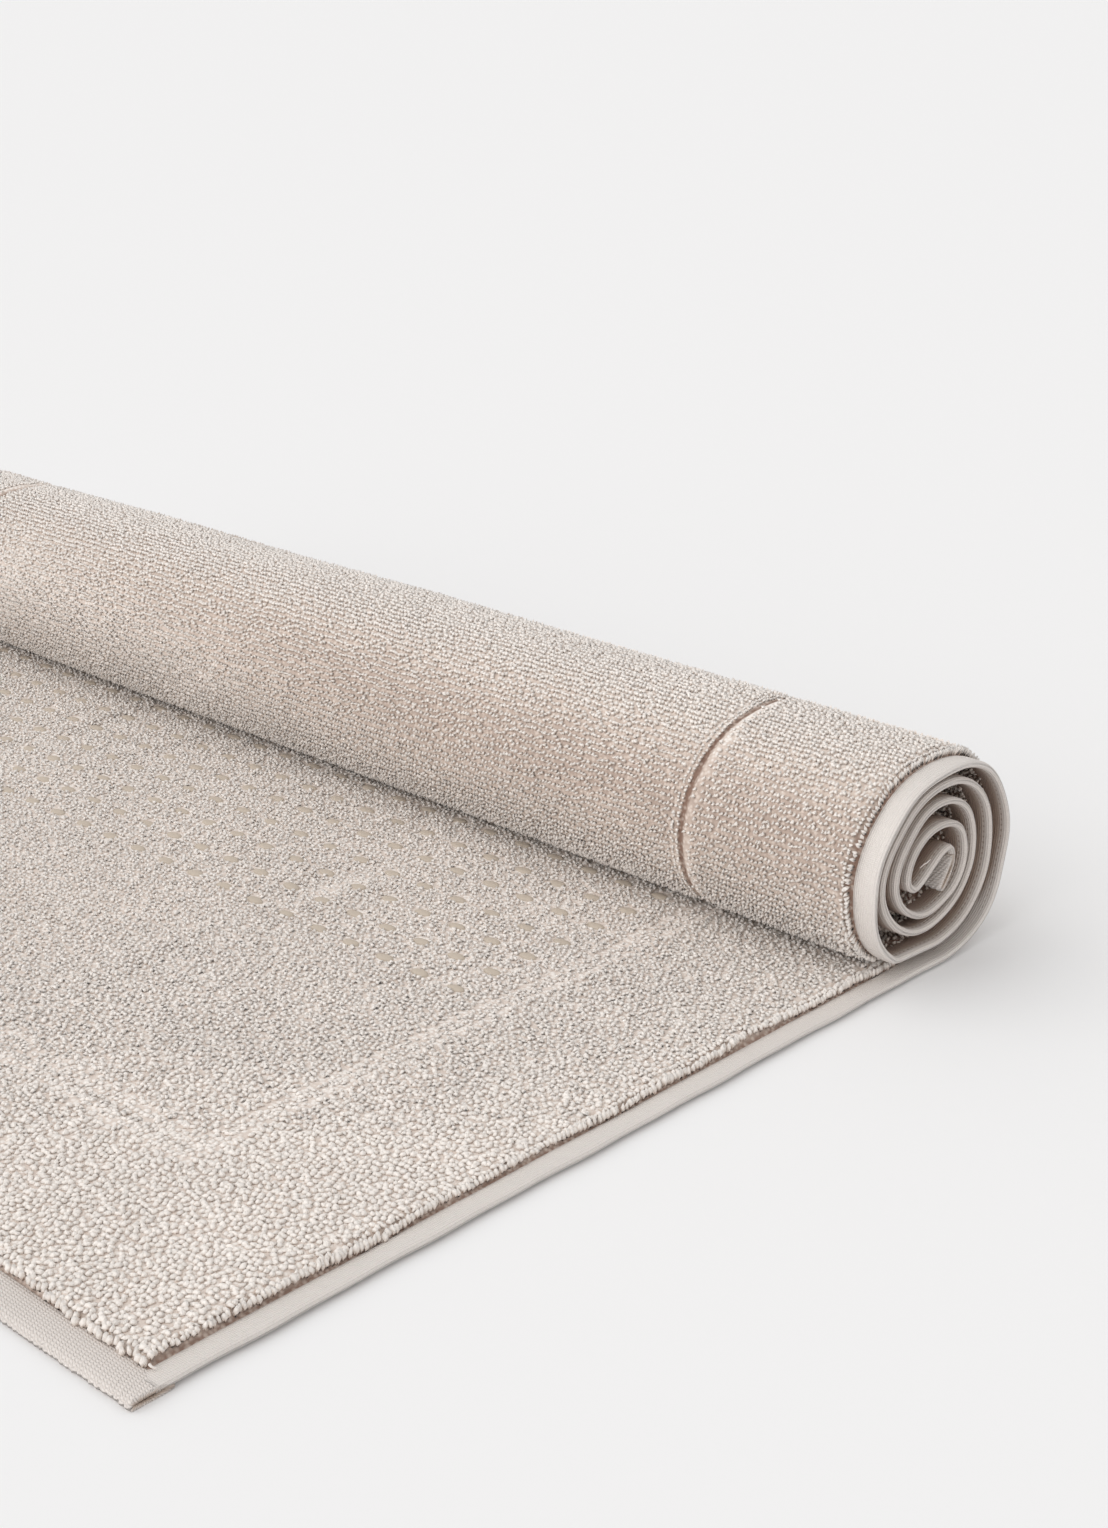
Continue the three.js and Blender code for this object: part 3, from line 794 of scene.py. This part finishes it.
def strew(name, *batches):
    """Sets copies of a loop on the cloth and joins them in one piece. A batch has a loop, the side of the
    cloth it stands on, and for each copy its place, how it is turned, leans and stretches, and its tone,
    which also carries painted light and shade in some batches."""
    points, faces, rises, tones = [], [], [], []
    first = 0
    for (shape, triangles, high), batch in batches:
        count = len(batch["x"])
        x, s, off, turned, long, thick, tall, shown, leans_x, leans_s = (
            np.broadcast_to(values, count)[:, None] for values in (
                *(batch[key] for key in ("x", "s", "off", "turned", "long", "thick", "tall")),
                batch.get("shown", 1.0), *batch["lean"]))
        flat_x, flat_y = shape[:, 0] * long, shape[:, 1] * thick
        lean = high**1.5
        gone_x = flat_x * np.cos(turned) - flat_y * np.sin(turned) + lean * leans_x
        gone_s = batch["side"] * (flat_x * np.sin(turned) + flat_y * np.cos(turned) + lean * leans_s)
        off = off + batch["side"] * (shape[:, 2] * tall)
        y, z, ny, nz = way_at(s)
        placed = settled(x + gone_x, y + off * ny + gone_s * nz, z + off * nz - gone_s * ny, s)
        placed[..., 2] = np.maximum(placed[..., 2], 0)
        points.append(placed.reshape(-1, 3))
        faces.append((triangles + first + len(shape) * np.arange(count)[:, None, None]).reshape(-1, 3))
        first += len(shape) * count
        # Painted shade: each loop darker towards its roots, and darker still where its batch's shown is below
        # 1.
        rises.append((high * shown).ravel())
        tones.append(np.repeat(batch["tone_and_shading"], len(shape)))
    piece = mesh_piece(name, np.vstack(points), np.vstack(faces), pile_cotton, np.hstack(rises),
                       np.hstack(tones))


OVALS = {"first_x": 98, "pitch_x": 16.83, "columns": 25, "first_s": 203, "pitch_s": 16.67, "long": 6.2,
         "wide": 3.5, "clear": 0.95}
FACE_BAND = {"side": (75, 83), "end": (75, 87), "line": 0.75}


def in_oval(x, s):
    column = (WIDTH / 2 - OVALS["first_x"] - x) / OVALS["pitch_x"]
    row = (s - OVALS["first_s"]) / OVALS["pitch_s"]
    in_field = (column > -0.5) & (column < OVALS["columns"] - 0.5) & (row > -0.5)
    away_x = (column - np.round(column)) * OVALS["pitch_x"] / (OVALS["long"] / 2 + OVALS["clear"])
    away_s = (row - np.round(row)) * OVALS["pitch_s"] / (OVALS["wide"] / 2 + OVALS["clear"])
    return in_field & (away_x**2 + away_s**2 < 1)


def face_band(x, s):
    """On the face: 1 on the woven band of the frame, and 1 on the sunk lines along both its edges."""
    side, end = from_edges(x, s)
    beyond = np.minimum(side - FACE_BAND["side"][0], end - FACE_BAND["end"][0])
    short_of = np.maximum(FACE_BAND["side"][1] - side, FACE_BAND["end"][1] - end)
    band = (beyond > 0) & (short_of > 0)
    line = (np.abs(beyond) < FACE_BAND["line"]) | ((beyond > 0) & (np.abs(short_of) < FACE_BAND["line"]))
    return band, line


def in_picture(x, s):
    """Pixels a millimetre in the photograph's view, or 0 where a point of the cloth lies outside it."""
    margin = 0.05
    down, left = math.radians(LOOKS_DOWN), math.radians(TURNED_LEFT)
    ahead = np.array([-math.sin(left) * math.cos(down), math.cos(left) * math.cos(down), -math.sin(down)])
    right = np.array([math.cos(left), math.sin(left), 0])
    over = np.cross(right, ahead)
    away = on_cloth(x, s, 0.0) - np.array(EYE)
    larger = LENS_MM / SENSOR_MM / (away @ ahead)
    wide, high = (away @ right) * larger, (away @ over) * larger
    shown = (np.abs(wide) < 0.5 * PICTURE["wide"] / PICTURE["high"] + margin) & (np.abs(high) < 0.5 + margin)
    return np.where(shown, PICTURE["high"] * MM * larger, 0)


def uneven(rng, x):
    """A way to draw one number for each loop, about a middle value."""
    return lambda middle, spread: rng.normal(middle, spread, len(x))


def lattice(low_s, high_s, step_x, step_s, seed, jitter):
    """Roots in rows, every other row shifted by half a step, each a little out of its place."""
    rng = np.random.default_rng(seed)
    x, s = np.meshgrid(np.arange(-WIDTH / 2, WIDTH / 2, step_x), np.arange(low_s, high_s, step_s))
    x = x + step_x / 2 * (np.arange(x.shape[0]) % 2)[:, None]
    x, s = x.ravel(), s.ravel()
    return x + rng.normal(0, jitter * step_x, x.size), s + rng.normal(0, jitter * step_s, s.size), rng


LAID_PILE = {"from_side": 12.0, "from_end": 14.2, "sunk": 0.6, "tall": 1.64}
ROLL_PILE = {"from_side": 11.9, "past_frame": 4.3, "thins": (1.5, 6), "sunk": 0.5, "tall": 1.95}
EDGE_SUNK = 0.5


def laid_pile(step, seed, from_size, to_size, thick=1.40, tone_and_shading=0.0):
    """Curled loops of the laid face that show between two sizes in the picture, with uneven limits."""
    x, s, rng = lattice(0, laid_high, step, step, seed, 0.2)
    size = in_picture(x, s)
    size = np.where(size > 0, size + 0.12 * np.sin(x * 12.9898 + s * 78.233), 0)
    side, end = from_edges(x, s)
    band, line = face_band(x, s)
    kept = (side > LAID_PILE["from_side"]) & (end > LAID_PILE["from_end"]) & ~in_oval(x, s) & ~line
    kept &= (size >= from_size) & (size < to_size)
    x, s, band = x[kept], s[kept], band[kept]
    draw = uneven(rng, x)
    grown = step / 2.0
    return dict(
        x=x, s=s, side=1, off=ground_face(x, s) - LAID_PILE["sunk"],
        turned=rng.uniform(0, 2 * np.pi, len(x)),
        lean=(draw(0, 0.4), draw(0, 0.4)),
        long=draw(0.98, 0.12).clip(0.6, 1.3) * grown, thick=draw(thick, 0.1) * grown,
        tall=(draw(LAID_PILE["tall"], 0.15) - 0.35 * band).clip(1.0, 2.0),
        tone_and_shading=draw(tone_and_shading, 0.6) + 0.15 * band)


# By default a tone of 1.3 makes the roll's loops paler than the laid ones: painted light.
def rolled_pile(step_x, step_s, seed, seen, from_x, to_x, tone_and_shading=1.3):
    """Slanting strokes in rows along the outer side of the roll, where it is seen in the picture or not."""
    x, s, rng = lattice(outer_low, outer_high, step_x, step_s, seed, 0.13)
    side, _ = from_edges(x, s)
    band = on_frame(x, s)[1]
    beyond = side - FRAME["from_side"]
    bare = 1 - smoothstep(-beyond, *ROLL_PILE["thins"])
    kept = (side > ROLL_PILE["from_side"]) & (rng.uniform(0, 1, len(x)) > bare)
    kept = (kept | (beyond > ROLL_PILE["past_frame"])) & (x > from_x) & (x <= to_x)
    kept &= seen == ((in_picture(x, s) > 0) & (s > roll_top) & (s < roll_foot))
    x, s, band = x[kept], s[kept], band[kept]
    shade = roll_shade(x, s)
    draw = uneven(rng, x)
    grown = step_s / 2.25
    slant = 0.75 + 0.35 * np.sin(x / 37 + s / 19) * np.sin(s / 27 - x / 61)
    return dict(
        x=x, s=s, side=-1, off=ground_back(x, s) + ROLL_PILE["sunk"],
        turned=slant + draw(0, 0.25),
        lean=(draw(0, 0.25), draw(0.15, 0.25)),
        long=draw(1.06, 0.1) * grown,
        thick=(draw(1.3, 0.08) - 0.24 * shade) * grown,
        tall=(draw(ROLL_PILE["tall"], 0.16) * (1 - 0.3 * band)).clip(1.1, 2.3),
        # Painted shade: the loops darker in the roll's shaded band.
        tone_and_shading=draw(tone_and_shading, 0.6), shown=1 - 0.12 * shade)


def at_edge(x, s, facing):
    """The ground's surface without its hems and with them, on its face (1) or its back (-1)."""
    surface = ground_face(x, s) if facing > 0 else ground_back(x, s)
    return surface, tucked(x, s, surface, EDGE_SUNK * facing)


def rope(low_s, high_s, at, facing, mirrored, seed, size, pitch):
    """A close row of loops along a side hem or the frame line, uneven in height and place."""
    rng = np.random.default_rng(seed)
    s = np.arange(low_s, high_s, pitch)
    draw = uneven(rng, s)
    s = s + draw(0, 0.24)
    wander = 0.45 * np.sin(s / 17 + seed) + 0.3 * np.sin(s / 7.3 + 2 * seed) + draw(0, 0.16)
    if facing < 0:
        wander = 0.35 * wander
    x = mirrored * (WIDTH / 2 - at - wander)
    surface, edge = at_edge(x, s, facing)
    rises_by = 0.75 + 0.25 * np.sin(s / 5.1 + seed) + draw(0, 0.2)
    return dict(
        x=x, s=s, side=facing, off=edge - EDGE_SUNK * facing,
        turned=mirrored * facing * 0.35 + draw(0, 0.45),
        lean=(mirrored * draw(0.35, 0.25), draw(0, 0.3)),
        long=draw(0.95, 0.16) * size, thick=draw(1.2, 0.16) * size,
        tall=np.maximum(facing * (surface - edge) + rises_by + EDGE_SUNK, 1.2),
        tone_and_shading=draw(0, 0.6))


def end_rope(low_x, high_x, at, seed):
    """The same along the front hem, in small clusters."""
    rng = np.random.default_rng(seed)
    x = np.arange(low_x, high_x, 1.85)
    draw = uneven(rng, x)
    s = at + 0.5 * np.sin(x / 11 + seed) + draw(0, 0.3)
    surface, edge = at_edge(x, s, 1)
    top = surface + 0.75 + 0.35 * np.sin(x / 5.3 + seed) + draw(0, 0.15)
    return dict(
        x=x, s=s, side=1, off=edge - EDGE_SUNK,
        turned=math.pi / 2 + draw(0, 0.5),
        lean=(draw(0, 0.3), draw(-0.3, 0.3)),
        long=draw(1.0, 0.12), thick=draw(1.25, 0.1),
        tall=(top - edge + EDGE_SUNK).clip(1.2, 4), tone_and_shading=draw(0, 0.6))


def wound_pile(low_s, facing, mirrored, seed):
    """Short loops in the dark between the turns, near the roll's open ends, painted darker as shade."""
    rng = np.random.default_rng(seed)
    at, s = np.meshgrid(np.arange(8.9, 19, 2.0), np.arange(low_s, LENGTH - 14, 2.1))
    at, s = at.ravel() + rng.normal(0, 0.3, at.size), s.ravel() + rng.normal(0, 0.3, at.size)
    x = mirrored * (WIDTH / 2 - at)
    _, edge = at_edge(x, s, facing)
    draw = uneven(rng, x)
    return dict(
        x=x, s=s, side=facing, off=edge - EDGE_SUNK * facing,
        turned=rng.uniform(0, 2 * np.pi, len(x)),
        lean=(draw(0, 0.35), draw(0, 0.35)),
        long=draw(0.9, 0.1), thick=draw(1.15, 0.1),
        tall=draw(1.7, 0.15), tone_and_shading=draw(-0.5, 0.6), shown=0.45)


laid_high = flat_ends - 12
outer_low, outer_high = s_at(-50), s_at(258)
roll_top, roll_foot = s_at(66), s_at(240)
# Steps and seed of the laid loops, and of those seen on the roll, which are two pieces that part at NEAR_X.
LAID = (2.0, 11)
ROLLED = (1.66, 2.25, 21, True)
NEAR_X = 20

strew("pile_near", (FULL_LOOP, laid_pile(*LAID, 3.4, 9)))
strew("pile_middle", (GOOD_LOOP, laid_pile(*LAID, 3.0, 3.4)), (PLAIN_LOOP, laid_pile(*LAID, 2.6, 3.0, 1.48)))
# The laid loops unseen in the picture get a tone of -1.6: painted shade, for the shadow that the denser seen
# loops cast.
strew("pile_far",
      (PLAIN_LOOP, laid_pile(*LAID, 0.5, 2.6, 1.58)), (FAR_LOOP, laid_pile(2.4, 15, -1, 0.5, tone_and_shading=-1.6)))
# The roll's loops seen in the picture are paler by their tone of 1.3: painted light. Its unseen ones take
# -0.4: painted shade.
strew("pile_roll", (PLAIN_LOOP, rolled_pile(*ROLLED, NEAR_X, WIDTH)))
strew("pile_roll_far",
      (PLAIN_LOOP, rolled_pile(*ROLLED, -WIDTH, NEAR_X)),
      (FAR_LOOP, rolled_pile(2.0, 2.55, 22, False, -WIDTH, WIDTH, -0.4)))

# Close rows of loops: how far in from the side, their size and their pitch.
LAID_EDGE = ((9.6, 0.88, 1.6), (11.1, 0.9, 1.72))
ROLL_EDGE = ((9.3, 0.85, 1.55), (11.1, 0.8, 1.5))
ROLL_FRAME = ((80.4, 0.8, 1.5), (82.3, 0.8, 1.5))
FIRST_SEED = 31

edges = []
for facing, mirrored, loop, rows in (
        (1, 1, FULL_LOOP, LAID_EDGE), (1, -1, PLAIN_LOOP, LAID_EDGE),
        (-1, 1, GOOD_LOOP, ROLL_EDGE), (-1, -1, PLAIN_LOOP, ROLL_EDGE),
        (-1, 1, GOOD_LOOP, ROLL_FRAME), (-1, -1, GOOD_LOOP, ROLL_FRAME)):
    ends = (14.5, s_at(-55)) if facing > 0 else (outer_low, outer_high)
    for at, size, pitch in rows:
        edges.append((loop, rope(*ends, at, facing, mirrored, FIRST_SEED + len(edges), size, pitch)))
for loop, low_x, high_x, at in (
        (FULL_LOOP, 120, 291.5, 12.5), (FULL_LOOP, 120, 290, 14.3),
        (PLAIN_LOOP, -291.5, 120, 12.5), (PLAIN_LOOP, -290, 120, 14.3)):
    edges.append((loop, end_rope(low_x, high_x, at, FIRST_SEED + len(edges))))
strew("pile_edges", *edges)
strew("pile_between_turns",
      (PLAIN_LOOP, wound_pile(outer_low, 1, 1, 51)), (PLAIN_LOOP, wound_pile(outer_high, -1, 1, 52)),
      (FAR_LOOP, wound_pile(outer_low, 1, -1, 53)), (FAR_LOOP, wound_pile(outer_high, -1, -1, 54)))


# Woven ovals: flat little islands sunk in the pile of the middle field, smooth, and greyer than the loops:
# partly the flat weave's own colour, partly painted shade from the loops around them.
# Each is a low dome. Its rings are shares of the oval's half length and half width, with their height in
# millimetres.
OVAL_COLOUR_AND_SHADE = (0.55, 0.475, 0.395, 1)
OVAL_CORNERS = 14
OVAL_RINGS = ((1.25, -0.5), (1.14, 0.3), (0.8, 0.56), (0.35, 0.62))
OVAL_TOP = 0.64

oval_cotton, *_ = cotton_material("oval_cotton", OVAL_COLOUR_AND_SHADE, HOLLOW_SHADE, 0.05)
oval_x = WIDTH / 2 - OVALS["first_x"] - OVALS["pitch_x"] * np.arange(OVALS["columns"])
oval_s = np.arange(OVALS["first_s"], laid_high + 6, OVALS["pitch_s"])
oval_x, oval_s = (grid.ravel() for grid in np.meshgrid(oval_x, oval_s))
dome, dome_faces = [], []
corner = np.arange(OVAL_CORNERS)
after = np.roll(corner, -1)
for reach, up in OVAL_RINGS:
    first, above = len(dome), len(dome) + OVAL_CORNERS
    for angle in np.linspace(0, 2 * np.pi, OVAL_CORNERS, endpoint=False):
        dome.append((reach * math.cos(angle), reach * math.sin(angle), up))
    if (reach, up) == OVAL_RINGS[-1]:
        dome_faces.append(np.stack([first + corner, first + after, np.full(OVAL_CORNERS, above)], -1))
    else:
        dome_faces.append(np.stack([first + corner, first + after, above + after], -1))
        dome_faces.append(np.stack([first + corner, above + after, above + corner], -1))
dome = np.array([*dome, (0, 0, OVAL_TOP)])
x = oval_x[:, None] + dome[:, 0] * OVALS["long"] / 2
s = oval_s[:, None] + dome[:, 1] * OVALS["wide"] / 2
points = on_cloth(x, s, ground_face(x, s) + dome[:, 2])
faces = np.concatenate(dome_faces) + len(dome) * np.arange(len(oval_x))[:, None, None]
ovals = mesh_piece("woven_ovals", points, faces.reshape(-1, 3), oval_cotton)


# Loose sewing yarn: the thread tail left in the roll's core, and the small light knot where the right side
# hem meets the front hem. Points are x, y along the floor from the front edge, and z, in millimetres.
THREAD_TAIL = ((300.4, 317.0, 41.0), (301.6, 318.2, 42.6), (300.9, 319.6, 41.9), (301.4, 321.5, 43.0))
KNOT = ((291.6, 13.2, 3.2), (292.3, 12.4, 3.9), (293.3, 12.2, 4.0), (294.0, 12.9, 3.4))
YARN_SIDES = 6
YARN_STEPS = 5


def yarn_tube(name, line, radius):
    """A thin round yarn through points."""
    line = np.array(line, float)
    plan, rise = (curve_through(line[:, pair], YARN_STEPS) for pair in ((0, 1), (1, 2)))
    line = np.stack([plan[:, 0], rise[:len(plan), 0], rise[:len(plan), 1]], -1)
    ahead = np.gradient(line, axis=0)
    ahead /= np.linalg.norm(ahead, axis=1, keepdims=True)
    beside = np.cross(ahead, (0.3, 0.2, 1.0))
    beside /= np.linalg.norm(beside, axis=1, keepdims=True)
    over = np.cross(ahead, beside)
    angles = np.linspace(0, 2 * np.pi, YARN_SIDES, endpoint=False)[:, None]
    rings = line[:, None] + radius * (np.cos(angles) * beside[:, None] + np.sin(angles) * over[:, None])
    points = rings.reshape(-1, 3) - (0, CENTRE_Y, 0)
    piece = mesh_piece(name, points * MM, tube_faces(len(line), YARN_SIDES), hem_cotton, tone_and_shading=1.0)


yarn_tube("thread_tail", THREAD_TAIL, 0.16)
yarn_tube("corner_knot", KNOT, 0.35)
